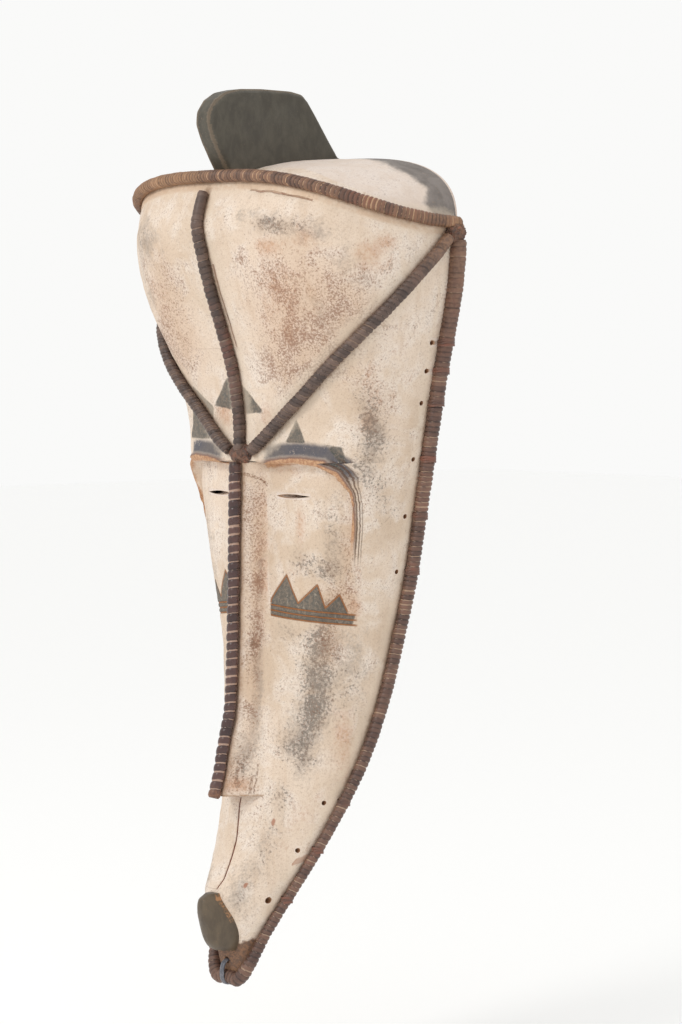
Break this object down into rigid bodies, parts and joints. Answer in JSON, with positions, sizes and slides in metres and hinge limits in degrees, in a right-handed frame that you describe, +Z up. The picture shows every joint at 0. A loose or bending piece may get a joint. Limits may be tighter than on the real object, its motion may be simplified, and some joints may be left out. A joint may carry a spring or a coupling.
{
  "type": "carved wooden mask",
  "caption": "Long hollow carved wooden face mask with a heart-shaped face, a crest, wrapped cane bands and an open back.",
  "frame": {"origin": "middle of the flat back face of the rim at the top centre, where the mask meets the wall", "axes": "+Z up, +X to the viewer's right, +Y into the wall; the face looks along -Y"},
  "size_m": [0.314, 0.1527, 0.7074],
  "materials": {
    "kaolin_wood": "chalky white clay rubbed over carved wood, worn and stained",
    "dark_wood": "matte dark grey-brown stained wood with worn edges",
    "mouth_wood": "dark brown worn wood",
    "dowel_wood": "plain wooden dowel",
    "cane_core": "bare grey cane",
    "split_cane": "glossy dark red-brown split cane with ochre dust between its turns",
    "resin": "dark red-brown resin, worn",
    "staple_wire": "dull grey wire"
  },
  "bodies": {
    "root": {"shell": "kaolin_wood", "crest": "dark_wood", "crest_dowels": "dowel_wood", "nose": "kaolin_wood", "nose_dowels": "dowel_wood", "mouth": "mouth_wood", "mouth_dowel": "dowel_wood", "top_band_core": "cane_core", "top_band_wrap": "split_cane", "centre_band_core": "cane_core", "centre_band_wrap": "split_cane", "left_diagonal_core": "cane_core", "left_diagonal_wrap": "split_cane", "right_diagonal_core": "cane_core", "right_diagonal_wrap": "split_cane", "nose_band_core": "cane_core", "nose_band_wrap": "split_cane", "left_edge_core": "cane_core", "left_edge_wrap": "split_cane", "right_edge_core": "cane_core", "right_edge_wrap": "split_cane", "left_edge_lashings": "split_cane", "right_edge_lashings": "split_cane", "chin_staple": "staple_wire", "bridge_knot": "resin", "left_corner_knot": "resin", "right_corner_knot": "resin"}
  },
  "joints": []
}
